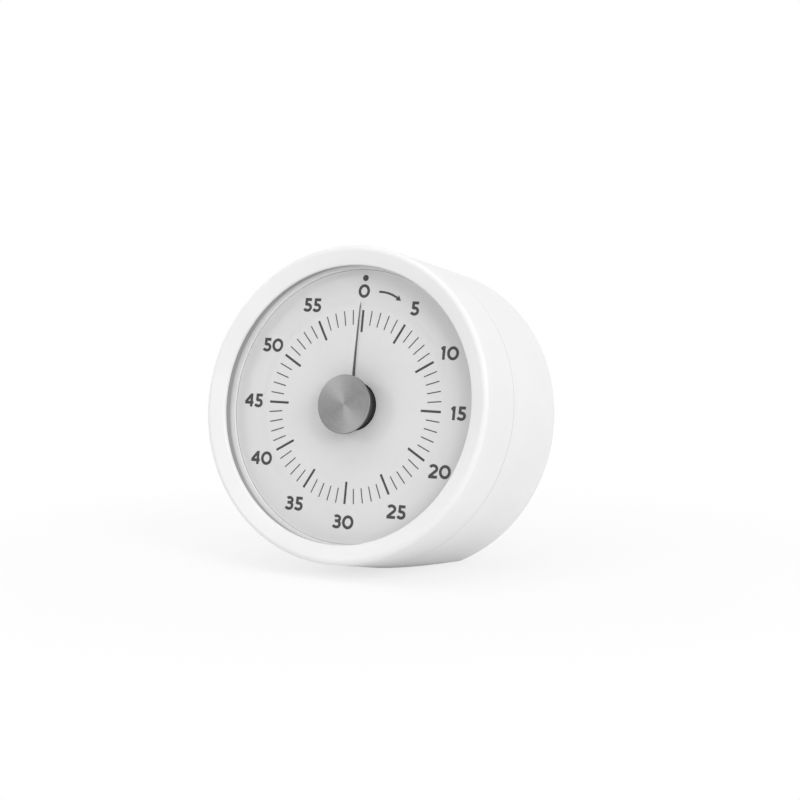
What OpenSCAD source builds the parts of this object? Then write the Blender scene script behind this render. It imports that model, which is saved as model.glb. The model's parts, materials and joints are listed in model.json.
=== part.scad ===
// Palm-size sixty-minute visual timer: a round case leaning back on a flat foot, a numbered dial with one
// radial slit, and a wind-up movement. Turning the knob clockwise screws a coloured disc up through the slit.
// Every piece is drawn in the dial's own frame: x to the right, y up the dial, z out of the dial's face.

/* [Case] */
// Outside diameter of the round case
case_d = 80; // [80:1:100]
// Depth of the case from the bezel's front to the back
case_depth = 41; // [41:0.5:60]
// Angle that the dial leans back from upright
lean = 11.4; // [8:0.2:14]
// Depth that the flat foot cuts into the back edge of the case
foot_cut = 4.05; // [3:0.05:5]
// Thickness of the case walls
wall = 2.4; // [2:0.1:2.6]
// Width of the bezel ring
bezel_w = 4.9; // [4.7:0.1:7]
// Slope of the bezel's face down to its inner edge
bezel_slope = 15.5; // [8:0.5:18]
// Height of the bezel's front above the dial
bezel_h = 6; // [5:0.1:9]
// Depth of the front shell behind the dial, down to the seam
seam_depth = 9.2; // [8:0.1:12]
// Radius on the front outer edge of the bezel
front_round = 1.2; // [0.4:0.1:2]
// Radius on the inner edge of the bezel
lip_round = 0.5; // [0.2:0.1:0.8]
// Radius on the back edge of the case
rear_round = 1.2; // [0.4:0.1:2]
// Bevel on each side of the seam line
seam_bevel = 0.15; // [0.1:0.05:0.4]
// Depth of the undercut behind the bezel's lip
lip_undercut = 0.5; // [0.3:0.1:0.8]
// Length of the spigot that locates the rear shell in the front shell
spigot_l = 3; // [2:0.5:4]
// Diameter of the bosses that take the case screws
case_boss_d = 5.2; // [4.4:0.2:6]

/* [Dial] */
// Thickness of the dial plate
dial_t = 0.25; // [0.2:0.05:0.4]
// Thickness of the ledge that carries the dial
ledge_t = 1.6; // [1.2:0.1:2.4]
// Radius where the slit in the dial ends
slit_r = 27.2; // [26.6:0.1:28]
// Distance of the slit to the left of the zero mark
slit_offset = 0.87; // [0:0.01:1.2]
// Width of the slit
slit_w = 0.3; // [0.2:0.05:0.5]
// Height of the ring that holds the dial down, at its outer edge
dial_ring_h = 1.8; // [1.2:0.1:2.4]
// Radial width of that ring
dial_ring_w = 0.8; // [0.6:0.1:1.2]
// Height of that ring at its inner edge
dial_ring_edge = 0.75; // [0.4:0.05:1.2]

/* [Colour disc] */
// Diameter of the coloured disc
disc_d = 50.8; // [46:0.2:51]
// Thickness of the disc's film
film_t = 0.2; // [0.15:0.05:0.25]
// Rise of the disc in one turn of the knob
film_pitch = 1; // [0.9:0.05:1.2]
// Distance that the disc's edge hides under the slit's left side at zero
film_lap = 0.6; // [0.4:0.1:1.2]
// Diameter of the disc's hub
disc_hub_d = 11.9; // [11:0.1:12]

/* [Knob] */
// Diameter of the metal cap on the knob
cap_d = 14.9; // [13.4:0.1:18]
// Thickness of the cap
cap_t = 0.8; // [0.6:0.1:1.4]
// Diameter of the knob's dark body
knob_d = 12.8; // [11:0.1:13]
// Height of the cap's front above the dial
knob_h = 5.2; // [5:0.1:8]

/* [Movement] */
// Thickness of the two movement plates
plate_t = 1; // [0.8:0.1:1.4]
// Space between the dial plate and the front plate
dial_gap = 3.35; // [3.2:0.05:4.5]
// Diameter of the main arbor
arbor_d = 4; // [3.6:0.1:4.4]
// Diameter of the plain part of the train arbors
train_arbor_d = 2; // [1.6:0.1:2.2]
// Diameter of the train's pivots
pivot_d = 1.2; // [0.8:0.1:1.4]
// Radial play of a shaft that turns in its hole
run_play = 0.05; // [0.03:0.01:0.08]
// Radial play of a piece that is pressed or screwed in place
press_play = 0.02; // [0.01:0.01:0.04]
// Thickness of the main wheel
main_t = 1; // [0.8:0.1:1.2]
// Thickness of the smaller wheels
train_t = 0.8; // [0.6:0.1:1]
// Room between one wheel's level and the next
level_gap = 1; // [0.9:0.1:1.2]
// Teeth on the main wheel
main_teeth = 72; // [66:6:84]
// Module of the main wheel and its pinion
main_mod = 0.5; // [0.48:0.01:0.54]
// Teeth on the second and the third wheel
train_teeth = 48; // [44:1:50]
// Module of the second and the third wheel and their pinions
train_mod = 0.35; // [0.32:0.01:0.36]
// Leaves on every pinion
leaves = 10; // [9:1:12]
// Teeth on the escape wheel
escape_teeth = 15; // [12:1:18]
// Diameter over the escape wheel's teeth
escape_d = 9; // [8:0.1:9.2]
// Diameter of the balance
balance_d = 10; // [9:0.1:10.2]
// Distance from the escape wheel's arbor to the balance's arbor
balance_reach = 6.5; // [6.4:0.1:7]
// Diameter of the pillars between the plates
pillar_d = 3.5; // [3:0.1:4]
// Outside diameter of the mainspring
spring_d = 28.4; // [26:0.2:29]
// Width of the mainspring's strip
spring_h = 6.8; // [6:0.1:7.4]
// Thickness of the mainspring's strip
spring_t = 0.35; // [0.25:0.05:0.45]
// Turns of the mainspring
spring_turns = 6; // [4:1:7]

/* [Bell] */
// Diameter of the bell
bell_d = 32; // [28:0.5:33]
// Thickness of the bell's metal
bell_t = 0.8; // [0.6:0.1:1]
// Distance of the bell's post above the main arbor
bell_up = 10; // [9.5:0.1:11]
// Diameter of the hammer's head
hammer_d = 4; // [3:0.2:4.6]
// Gap between the resting hammer and the bell
strike_gap = 0.4; // [0.3:0.1:0.8]
// Diameter of the trip cam on the main arbor
cam_d = 10; // [8:0.2:11]

/* [Hidden] */
$fn = 96;

// Case
case_r = case_d / 2;
inner_r = case_r - wall;
lip_r = case_r - bezel_w;
recess_r = lip_r + lip_undercut;
lip_wall = 1.3;
core_r = recess_r + lip_wall;
lip_land = 0.9;
lip_step = 0.3;
core_roof = 2;
core_top = bezel_h - core_roof;
ledge_z = -dial_t;
ledge_back = ledge_z - ledge_t;
ledge_margin = 1.3;
ledge_r = slit_r + ledge_margin;
seam_z = -seam_depth;
rear_z = bezel_h - case_depth;
rear_in = rear_z + wall;
spigot_play = 0.1;
spigot_t = 1.2;

// Bezel: the sloping face meets the rounded front edge at the foremost circle
lip_z = bezel_h - front_round + (front_round - (bezel_w - front_round) * sin(bezel_slope)) / cos(bezel_slope);
ridge_z = lip_z + bezel_w * tan(bezel_slope);
face_in = [-cos(bezel_slope), -sin(bezel_slope)];

// Foot: a level plane that meets the back face foot_cut above the case's lowest point
foot_y = -(case_r - foot_cut);
dial_up = -(foot_y * cos(lean) + rear_z * sin(lean));
foot_front_z = (case_r * cos(lean) - dial_up) / sin(lean);
foot_front = -case_r * sin(lean) - foot_front_z * cos(lean);
foot_rear = foot_y * sin(lean) - rear_z * cos(lean);
dial_forward = -(foot_front + foot_rear) / 2;

// Screws
screw_r = 1;
screw_play = 0.05;
screw_head_r = 1.8;
screw_head_h = 1.2;
slot_w = 0.5;
slot_deep = 0.5;
screw_count = 3;
case_boss_r = case_boss_d / 2;
boss_gap = 1.8;
case_screw_r = inner_r - case_boss_r - boss_gap;
case_screw_a = 90;
boss_past = 1.8;
boss_z = seam_z - boss_past;
tube_wall = 1;
tube_floor = 2;
head_room = 0.4;
tube_r = screw_head_r + head_room + tube_wall;
case_screw_l = 8;
ear_r = 3;
move_boss_r = 2.4;
move_boss_in = 2;
move_screw_r = ledge_r + move_boss_in;
move_screw_a = 30;
move_screw_l = 3.2;

// Disc and knob
disc_r = disc_d / 2;
dial_fit = 0.1;
dial_r = lip_r - dial_fit;
ring_out = recess_r - dial_fit;
helix_margin = 0.2;
helix_r = disc_r + helix_margin;
hub_r = disc_hub_d / 2;
hub_room = 0.3;
dial_hole_r = hub_r + hub_room;
film_in = hub_r + run_play;
hub_top = 0.35;
hub_drop = 0.9;
hub_back = -(film_pitch + hub_drop);
hub_rise_room = 0.3;
knob_back = hub_top + film_pitch + hub_rise_room;
cap_back = knob_h - cap_t;
cap_pin_r = 2.4;
cap_pin_l = 0.6;
cap_round = 0.25;
arbor_top = cap_back - cap_pin_l - 0.1;
film_steps = 72;

// Levels of the movement, from the dial to the back
plate_z = ledge_z - dial_gap;
plate_back = plate_z - plate_t;
clip_t = 0.4;
clip_z = plate_back - 0.3;
washer_t = 0.6;
washer_w = 3;
washer_land = 1.5;
washer_foot = 1;
washer_z = clip_z - clip_t;
main_z = washer_z - washer_t;
main_back = main_z - main_t;
collar_t = 1.3;
second_z = main_back - level_gap;
third_z = second_z - train_t - level_gap;
escape_z = third_z - train_t - level_gap;
lever_t = 0.6;
lever_z = escape_z - train_t - 0.4;
spring_z = escape_z - train_t - level_gap;
spring_back = spring_z - spring_h;
balance_z = spring_z - 1;
back_z = spring_back - 0.5;
back_back = back_z - plate_t;
end_play = 0.2;
cam_t = 1;
cam_z = back_back - 0.7;
cam_back = cam_z - cam_t;

// Train: every arbor stands on one circle round the main arbor
arbor_r = arbor_d / 2;
flat_r = arbor_r * 0.8;
rear_pivot_r = arbor_r * 0.75;
train_arbor_r = train_arbor_d / 2;
pivot_r = pivot_d / 2;
pressure = 25;
wheel_add = 0.7;
wheel_ded = 1.15;
leaf_add = 0.9;
leaf_ded = 0.95;
backlash = 0.1;
spoke_w = 1.4;
train_r = (main_teeth + leaves) * main_mod / 2;
train_cd = (train_teeth + leaves) * train_mod / 2;
second_a = 0;
third_a = second_a + chord_angle(train_cd);
escape_a = third_a + chord_angle(train_cd);
balance_a = escape_a + chord_angle(balance_reach);
leaf_over = 0.4;
pillar_r = pillar_d / 2;
pillar_out = 7.5;
pillar_at = train_r + pillar_out;
pillar_a = 52;
plate_edge = 2.2;
plate_r = pillar_at + plate_edge;
stud_r = 1;
nut_r = 2.2;
nut_t = 1.4;

// Spring
collet_t = 1.4;
collet_r = arbor_r + collet_t;
collet_end = 0.4;
spring_out = spring_d / 2;
spring_in = collet_r + spring_t / 2 + press_play;
post_r = 1.2;
post_at = spring_out + post_r + press_play;
post_a = 240;
spring_steps = 24;

// Escapement
escape_tooth = 1.1;
escape_root = escape_d / 2 - escape_tooth;
pallet_reach = 3.6;
pallet_a = 58;
pallet_pin_r = 0.3;
lever_w = 1.2;
balance_rim = 1;

// Bell and hammer
bell_r = bell_d / 2;
bell_rim_z = cam_back - 1;
bell_nut_t = 1.4;
bell_back = rear_in + bell_nut_t + 0.4;
bell_round = 3;
bell_post_r = 2;
bell_c = [0, bell_up];
strike_a = -45;
head_r = hammer_d / 2;
head_c = bell_c + (bell_r + strike_gap + head_r) * [cos(strike_a), sin(strike_a)];
arm_l = 12;
stud_c = head_c + arm_l * [cos(strike_a + 90), sin(strike_a + 90)];
arm_w = 1.6;
tail_gap = 0.5;
tail_c = [cam_d / 2 + tail_gap + arm_w / 2, 0];
hammer_hub_r = 2.2;
hammer_stud_r = 1;
strike_depth = 3;
head_back = bell_rim_z - strike_depth;

// Angle between two neighbouring arbors on the train's circle, for the distance between them
function chord_angle(d) = 2 * asin(d / 2 / train_r);

function polar(r, a) = [r * cos(a), r * sin(a)];

// Direction from one arbor on the train's circle to another
function aim(a, b) =
  let (d = polar(train_r, b) - polar(train_r, a))
  atan2(d.y, d.x);

// Each pair of neighbouring points in two rows, as two triangles
function strip(a, b) = [
  for (i = [0:len(a) - 2])
    each [[a[i], b[i], b[i + 1]], [a[i], b[i + 1], a[i + 1]]]
];

function reverse(v) = [for (i = [len(v) - 1:-1:0]) v[i]];

// Stands the dial's frame on the table
module placed() {
  translate([0, dial_forward, dial_up])
    rotate([90 - lean, 0, 0])
      children();
}

// Everything that lies lower than a height above the table
module below(height) {
  reach = 2 * case_d;
  rotate([lean - 90, 0, 0])
    translate([-reach, -dial_forward - reach, height - dial_up - 2 * reach])
      cube(2 * reach);
}

module rod(r, front, back) {
  translate([0, 0, back])
    cylinder(r = r, h = front - back);
}

module tube(outer, inner, front, back) {
  translate([0, 0, back])
    linear_extrude(front - back)
      difference() {
        circle(outer);
        circle(inner);
      }
}

module slab(front, back) {
  translate([0, 0, back])
    linear_extrude(front - back)
      children();
}

module on_circle(r, a) {
  rotate(a)
    translate([r, 0, 0])
      children();
}

module around(count, r, a) {
  for (i = [0:count - 1])
    on_circle(r, a + i * 360 / count)
      children();
}

// The waste that rounds an outside corner of a flat profile; the corner's edges leave it along a and b
module corner_waste(corner, a, b, r) {
  over = 0.01;
  turn = acos(a * b);
  reach = r / tan(turn / 2);
  middle = (a + b) / norm(a + b);
  centre = corner + middle * r / sin(turn / 2);
  difference() {
    polygon([
      corner - middle * over,
      corner + a * reach + ((a * b) * a - b) / sin(turn) * over,
      centre,
      corner + b * reach + ((a * b) * b - a) / sin(turn) * over
    ]);
    translate(centre)
      circle(r);
  }
}

// A flat bar with round ends between two points
module bar(from, to, w) {
  run = to - from;
  translate(from) {
    circle(w / 2);
    rotate(atan2(run.y, run.x))
      translate([0, -w / 2])
        square([norm(run), w]);
  }
  translate(to)
    circle(w / 2);
}

// Round shaft with two flats
module flatted(r, flat) {
  intersection() {
    circle(r);
    square([2 * flat, 2 * r], center = true);
  }
}

// Screw along the z axis with its slotted head at the back
module screw(seat, length) {
  difference() {
    union() {
      rod(screw_r, seat + length, seat - 0.1);
      rod(screw_head_r, seat, seat - screw_head_h);
    }
    translate([0, 0, seat - screw_head_h])
      cube([3 * screw_head_r, slot_w, 2 * slot_deep], center = true);
  }
}

// Involute function in degrees
function inv(a) = tan(a) * 180 / PI - a;

// Half of a tooth's angle at a radius; under the base circle the flank is radial
function tooth_half(at, pitch_r, mod) =
  let (base_r = pitch_r * cos(pressure))
  let (thick = PI * mod / 2 - backlash / 2)
  thick / (2 * pitch_r) * 180 / PI + inv(pressure) - inv(acos(min(1, base_r / at)));

function gear_points(teeth, mod, add, ded) =
  let (pitch_r = teeth * mod / 2)
  let (base_r = pitch_r * cos(pressure))
  let (root = pitch_r - ded * mod)
  let (low = root < base_r ? base_r : (root + pitch_r) / 2)
  let (up = [root, low, pitch_r, pitch_r + add * mod])
  [
    for (i = [0:teeth - 1])
      each concat(
        [for (at = up) polar(at, i * 360 / teeth - tooth_half(at, pitch_r, mod))],
        [for (at = reverse(up)) polar(at, i * 360 / teeth + tooth_half(at, pitch_r, mod))]
      )
  ];

module wheel(teeth, mod, bore, front, back, windows) {
  pitch_r = teeth * mod / 2;
  hub = bore + 1.6;
  rim = pitch_r - wheel_ded * mod - 1.2;
  middle = (hub + rim) / 2;
  window_r = min((rim - hub) / 2, middle * sin(180 / windows) - spoke_w / 2);
  slab(front, back)
    difference() {
      polygon(gear_points(teeth, mod, wheel_add, wheel_ded));
      circle(bore);
      around(windows, middle, 180 / windows)
        circle(window_r);
    }
}

// Arbor with its pivots and leaves, standing at the origin
module pinion(mod, front, back) {
  rod(train_arbor_r, plate_back - end_play, back_z + end_play);
  rod(pivot_r, plate_z - end_play, back_back + end_play);
  slab(front + leaf_over, back - leaf_over)
    polygon(gear_points(leaves, mod, leaf_add, leaf_ded));
}

// Turns a pinion so that a gap between its leaves faces the wheel that drives it
function leaf_turn(from) = from + 180 - 180 / leaves;

// Case

module front_profile() {
  difference() {
    polygon([
      [case_r, seam_z + seam_bevel],
      [case_r, ridge_z],
      [lip_r, lip_z],
      [lip_r, lip_z - lip_land],
      [recess_r, lip_z - lip_land - lip_step],
      [recess_r, ledge_z],
      [ledge_r, ledge_z],
      [ledge_r, ledge_back],
      [core_r, ledge_back],
      [core_r, core_top],
      [inner_r, core_top],
      [inner_r, seam_z],
      [case_r - seam_bevel, seam_z]
    ]);
    corner_waste([case_r, ridge_z], face_in, [0, -1], front_round);
    corner_waste([lip_r, lip_z], -face_in, [0, -1], lip_round);
  }
}

module front_shell() {
  sink = ledge_t / 2;
  color("white")
    placed()
      difference() {
        union() {
          rotate_extrude()
            front_profile();
          around(screw_count, case_screw_r, case_screw_a)
            rod(case_boss_r, ledge_back + sink, boss_z);
          around(screw_count, move_screw_r, move_screw_a)
            rod(move_boss_r, ledge_back + sink, plate_z);
        }
        around(screw_count, case_screw_r, case_screw_a)
          rod(screw_r + screw_play, boss_z + case_screw_l, boss_z - 1);
        around(screw_count, move_screw_r, move_screw_a)
          rod(screw_r + screw_play, plate_z + move_screw_l - plate_t + 0.2, plate_z - 1);
      }
}

module rear_profile() {
  difference() {
    translate([0, rear_z])
      square([case_r, seam_z - rear_z]);
    corner_waste([case_r, rear_z], [-1, 0], [0, 1], rear_round);
    translate([case_r, seam_z])
      rotate(45)
        square(seam_bevel * sqrt(2), center = true);
  }
}

module rear_shell() {
  spigot_r = inner_r - spigot_play;
  head_seat = boss_z - tube_floor;
  color("white")
    placed()
      difference() {
        union() {
          difference() {
            rotate_extrude()
              rear_profile();
            difference() {
              rod(inner_r, seam_z + 1, rear_in);
              below(wall);
            }
          }
          tube(spigot_r, spigot_r - spigot_t, seam_z + spigot_l, seam_z - spigot_l);
          tube(inner_r + wall / 2, spigot_r - spigot_t, seam_z - spigot_play, seam_z - spigot_l);
          around(screw_count, case_screw_r, case_screw_a)
            rod(tube_r, boss_z, rear_in - wall / 2);
        }
        below(0);
        around(screw_count, case_screw_r, case_screw_a) {
          rod(screw_head_r + head_room, head_seat, rear_z - 1);
          rod(screw_r + screw_play, boss_z + 1, head_seat - 1);
        }
      }
}

module case_screws() {
  color("silver")
    placed()
      around(screw_count, case_screw_r, case_screw_a)
        screw(boss_z - tube_floor, case_screw_l + tube_floor - 0.5);
}

// Dial: one turn of a helicoid that is flat again outside the end of the slit

function slit_angle(r, side) = asin((side * slit_w / 2 - slit_offset) / r);

function dial_angle(r, open, j) =
  let (right = slit_angle(r, open))
  let (left = 360 + slit_angle(r, -open))
  right + (left - right) * j / film_steps;

function dial_point(r, open, j, drop) =
  let (a = dial_angle(r, open, j))
  [r * sin(a), r * cos(a), open * film_pitch * (a / 360 - 1 / 2) - drop];

module dial_plate() {
  n = film_steps;
  rings = [[dial_hole_r, 1], [helix_r, 1], [slit_r, 0], [dial_r, 0]];
  starts = [0, n + 1, 2 * (n + 1), 2 * (n + 1) + n];
  layer = 2 * (n + 1) + 2 * n;
  points = [
    for (drop = [0, dial_t])
      for (ring = rings)
        for (j = [0:ring[1] == 1 ? n : n - 1])
          dial_point(ring[0], ring[1], j, drop)
  ];
  row = [
    for (side = [0, 1])
      [
        for (k = [0:3])
          [for (j = [0:n]) side * layer + starts[k] + (rings[k][1] == 1 ? j : j % n)]
      ]
  ];
  right = [for (side = [0, 1]) [for (k = [2, 1, 0]) row[side][k][0]]];
  left = [for (side = [0, 1]) [for (k = [0, 1, 2]) row[side][k][n]]];
  faces = concat(
    [for (k = [0:2]) each strip(row[0][k], row[0][k + 1])],
    [for (k = [0:2]) each strip(row[1][k + 1], row[1][k])],
    strip(row[1][0], row[0][0]),
    strip(row[0][3], row[1][3]),
    strip(right[1], right[0]),
    strip(left[1], left[0])
  );
  color("gainsboro")
    placed()
      polyhedron(points, faces, convexity = 6);
}

module dial_ring() {
  ring_in = ring_out - dial_ring_w;
  color("white")
    placed()
      rotate_extrude()
        polygon([
          [ring_in, 0],
          [ring_out, 0],
          [ring_out, dial_ring_h],
          [ring_in, dial_ring_edge]
        ]);
}

// Disc: one turn of the same helicoid, half a pitch under the dial at zero

module colour_disc() {
  n = film_steps;
  middle = -dial_t / 2;
  function edge(r) = asin(-(slit_offset + film_lap) / r);
  function film_point(r, j, up) =
    let (a = edge(r) - 360 + 360 * j / n)
    [r * sin(a), r * cos(a), film_pitch * a / 360 + middle + up];
  points = [
    for (up = [film_t / 2, -film_t / 2])
      for (r = [film_in, disc_r])
        for (j = [0:n])
          film_point(r, j, up)
  ];
  row = [for (k = [0:3]) [for (j = [0:n]) k * (n + 1) + j]];
  tail = [for (k = [0:3]) row[k][0]];
  lead = [for (k = [0:3]) row[k][n]];
  faces = concat(
    strip(row[0], row[1]),
    strip(row[3], row[2]),
    strip(row[2], row[0]),
    strip(row[1], row[3]),
    [[tail[1], tail[0], tail[2]], [tail[1], tail[2], tail[3]]],
    [[lead[0], lead[1], lead[3]], [lead[0], lead[3], lead[2]]]
  );
  color("steelblue")
    placed()
      polyhedron(points, faces, convexity = 6);
}

module disc_hub() {
  color("dimgray")
    placed()
      slab(hub_top, hub_back)
        difference() {
          circle(hub_r);
          flatted(arbor_r + run_play, flat_r + run_play);
        }
}

// Knob

module knob_cap() {
  color("silver")
    placed() {
      rotate_extrude()
        difference() {
          translate([0, cap_back])
            square([cap_d / 2, cap_t]);
          corner_waste([cap_d / 2, knob_h], [-1, 0], [0, -1], cap_round);
        }
      rod(cap_pin_r, cap_back + cap_t / 2, cap_back - cap_pin_l);
    }
}

module knob_body() {
  color("dimgray")
    placed()
      difference() {
        rod(knob_d / 2, cap_back, knob_back);
        rod(cap_pin_r + press_play, cap_back + 1, cap_back - cap_pin_l - press_play);
        slab(cap_back, knob_back - 1)
          flatted(arbor_r + press_play, flat_r + press_play);
      }
}

// Movement plates

module boss_notches() {
  around(screw_count, case_screw_r, case_screw_a)
    circle(tube_r + 0.5);
}

module train_holes(r) {
  for (a = [second_a, third_a, escape_a, balance_a])
    on_circle(train_r, a)
      circle(r);
}

module front_plate() {
  color("goldenrod")
    placed()
      slab(plate_z, plate_back)
        difference() {
          union() {
            circle(plate_r);
            for (i = [0:screw_count - 1])
              bar([0, 0], polar(move_screw_r, move_screw_a + i * 360 / screw_count), 2 * ear_r);
          }
          boss_notches();
          circle(arbor_r + run_play);
          train_holes(pivot_r + run_play);
          around(screw_count, pillar_at, pillar_a)
            circle(stud_r + press_play);
          around(screw_count, move_screw_r, move_screw_a)
            circle(screw_r + screw_play);
        }
}

module back_plate() {
  color("goldenrod")
    placed()
      slab(back_z, back_back)
        difference() {
          circle(plate_r);
          boss_notches();
          circle(rear_pivot_r + run_play);
          train_holes(pivot_r + run_play);
          around(screw_count, pillar_at, pillar_a)
            circle(stud_r + press_play);
          on_circle(post_at, post_a)
            circle(stud_r + press_play);
          translate(bell_c)
            circle(stud_r + press_play);
          translate(stud_c)
            circle(hammer_stud_r + press_play);
        }
}

module pillars() {
  color("silver")
    placed()
      around(screw_count, pillar_at, pillar_a) {
        rod(pillar_r, plate_back, back_z);
        rod(stud_r, plate_z, back_back - nut_t - 0.2);
      }
}

module pillar_nuts() {
  color("silver")
    placed()
      around(screw_count, pillar_at, pillar_a)
        slab(back_back, back_back - nut_t)
          difference() {
            circle(nut_r, $fn = 6);
            circle(stud_r + press_play);
          }
}

module movement_screws() {
  color("silver")
    placed()
      around(screw_count, move_screw_r, move_screw_a)
        screw(plate_back, move_screw_l);
}

// Main arbor and mainspring

module main_arbor() {
  color("silver")
    placed() {
      slab(arbor_top, hub_back - 0.3)
        flatted(arbor_r, flat_r);
      difference() {
        rod(arbor_r, hub_back - 0.2, back_z + end_play);
        tube(2 * arbor_r, rear_pivot_r, clip_z, clip_z - clip_t);
      }
      rod(arbor_r + 1.5, main_back, main_back - collar_t);
      rod(rear_pivot_r, back_z + 1, cam_back);
    }
}

module retaining_clip() {
  mouth = 2 * rear_pivot_r * 0.9;
  color("silver")
    placed()
      slab(clip_z, clip_z - clip_t)
        difference() {
          circle(arbor_r + 1.2);
          circle(rear_pivot_r + press_play);
          translate([0, -mouth / 2])
            square([2 * arbor_r, mouth]);
        }
}

module clutch_washer() {
  dish = washer_t / 2;
  color("silver")
    placed()
      rotate_extrude()
        polygon([
          [arbor_r + press_play, washer_z],
          [arbor_r + washer_land, washer_z],
          [arbor_r + washer_w, washer_z - dish],
          [arbor_r + washer_w, main_z],
          [arbor_r + washer_w - washer_foot, main_z],
          [arbor_r + press_play, washer_z - dish]
        ]);
}

module main_wheel() {
  color("goldenrod")
    placed()
      rotate(second_a)
        wheel(main_teeth, main_mod, arbor_r + run_play, main_z, main_back, 5);
}

module spring_collet() {
  color("silver")
    placed()
      tube(collet_r, arbor_r + press_play, spring_z - collet_end, spring_back + collet_end);
}

module mainspring() {
  total = spring_turns * spring_steps;
  outer = spring_out - spring_t / 2;
  start = post_a + 10 - 360 * spring_turns;
  function spiral(i, side) =
    polar(spring_in + (outer - spring_in) * i / total + side * spring_t / 2, start + i * 360 / spring_steps);
  color("slategray")
    placed()
      slab(spring_z, spring_back)
        polygon(concat(
          [for (i = [0:total]) spiral(i, 1)],
          [for (i = [total:-1:0]) spiral(i, -1)]
        ));
}

module spring_post() {
  color("silver")
    placed()
      on_circle(post_at, post_a) {
        rod(post_r, spring_z + 0.3, back_z);
        rod(stud_r, back_z + 1, back_back);
      }
}

// Train

module second_wheel() {
  color("goldenrod")
    placed()
      on_circle(train_r, second_a)
        rotate(aim(second_a, third_a) - second_a)
          wheel(train_teeth, train_mod, train_arbor_r + press_play, second_z, second_z - train_t, 4);
}

module second_pinion() {
  color("silver")
    placed()
      on_circle(train_r, second_a)
        rotate(leaf_turn(0))
          pinion(main_mod, main_z, main_back);
}

module third_wheel() {
  color("goldenrod")
    placed()
      on_circle(train_r, third_a)
        rotate(aim(third_a, escape_a) - third_a)
          wheel(train_teeth, train_mod, train_arbor_r + press_play, third_z, third_z - train_t, 4);
}

module third_pinion() {
  color("silver")
    placed()
      on_circle(train_r, third_a)
        rotate(leaf_turn(aim(second_a, third_a)) - third_a)
          pinion(train_mod, second_z, second_z - train_t);
}

module escape_wheel() {
  step = 360 / escape_teeth;
  color("goldenrod")
    placed()
      on_circle(train_r, escape_a)
        slab(escape_z, escape_z - train_t)
          difference() {
            polygon([
              for (i = [0:escape_teeth - 1])
                each [
                  polar(escape_d / 2, i * step),
                  polar(escape_d / 2, i * step + step * 0.1),
                  polar(escape_root, i * step + step * 0.3),
                  polar(escape_root, i * step + step * 0.8)
                ]
            ]);
            circle(train_arbor_r + press_play);
          }
}

module escape_pinion() {
  color("silver")
    placed()
      on_circle(train_r, escape_a)
        rotate(leaf_turn(aim(third_a, escape_a)) - escape_a)
          pinion(train_mod, third_z, third_z - train_t);
}

// Pallets and balance: the two pins stand just clear of the escape wheel's teeth

module facing_escape() {
  placed()
    on_circle(train_r, balance_a)
      rotate(aim(balance_a, escape_a) - balance_a)
        children();
}

module pallet_lever() {
  color("silver")
    facing_escape() {
      slab(lever_z, lever_z - lever_t)
        difference() {
          union() {
            circle(train_arbor_r + 1);
            for (side = [-1, 1])
              bar([0, 0], polar(pallet_reach, side * pallet_a), lever_w);
          }
          circle(train_arbor_r + press_play);
        }
      for (side = [-1, 1])
        translate(polar(pallet_reach, side * pallet_a))
          rod(pallet_pin_r, escape_z + 0.2, lever_z - lever_t / 2);
    }
}

module balance_arbor() {
  color("silver")
    facing_escape() {
      rod(train_arbor_r, plate_back - end_play, back_z + end_play);
      rod(pivot_r, plate_z - end_play, back_back + end_play);
    }
}

module balance_wheel() {
  rim_in = balance_d / 2 - balance_rim;
  color("goldenrod")
    facing_escape()
      slab(balance_z, balance_z - 2 * train_t)
        difference() {
          union() {
            difference() {
              circle(balance_d / 2);
              circle(rim_in);
            }
            circle(train_arbor_r + 1);
            square([2 * rim_in + balance_rim, lever_w], center = true);
          }
          circle(train_arbor_r + press_play);
        }
}

// Bell and hammer

module trip_cam() {
  color("silver")
    placed()
      slab(cam_z, cam_back)
        difference() {
          circle(cam_d / 2);
          circle(rear_pivot_r + press_play);
          translate([cam_d / 2, cam_d / 4])
            circle(cam_d / 4);
        }
}

module hammer_stud() {
  color("silver")
    placed()
      translate(stud_c) {
        rod(hammer_stud_r, back_z, cam_back - 0.2);
        rod(hammer_stud_r + 0.8, cam_back - end_play, cam_back - end_play - 0.6);
      }
}

module hammer_arm() {
  color("silver")
    placed()
      slab(cam_z, cam_back)
        difference() {
          union() {
            translate(stud_c)
              circle(hammer_hub_r);
            bar(stud_c, head_c, arm_w);
            bar(stud_c, tail_c, arm_w);
          }
          translate(stud_c)
            circle(hammer_stud_r + run_play);
        }
}

module hammer_head() {
  color("silver")
    placed()
      translate(head_c)
        rod(head_r, cam_back, head_back);
}

module bell() {
  color("silver")
    placed()
      translate(bell_c)
        rotate_extrude()
          difference() {
            translate([stud_r + press_play, bell_back])
              square([bell_r - stud_r - press_play, bell_rim_z - bell_back]);
            corner_waste([bell_r, bell_back], [-1, 0], [0, 1], bell_round);
            difference() {
              translate([-1, bell_back + bell_t])
                square([bell_r - bell_t + 1, bell_rim_z - bell_back]);
              corner_waste([bell_r - bell_t, bell_back + bell_t], [-1, 0], [0, 1], bell_round - bell_t);
            }
          }
}

module bell_post() {
  color("silver")
    placed()
      translate(bell_c) {
        rod(bell_post_r, back_back, bell_back + bell_t);
        rod(stud_r, back_z, bell_back - bell_nut_t);
      }
}

module bell_nut() {
  color("silver")
    placed()
      translate(bell_c)
        slab(bell_back, bell_back - bell_nut_t)
          difference() {
            circle(nut_r, $fn = 6);
            circle(stud_r + press_play);
          }
}

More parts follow.
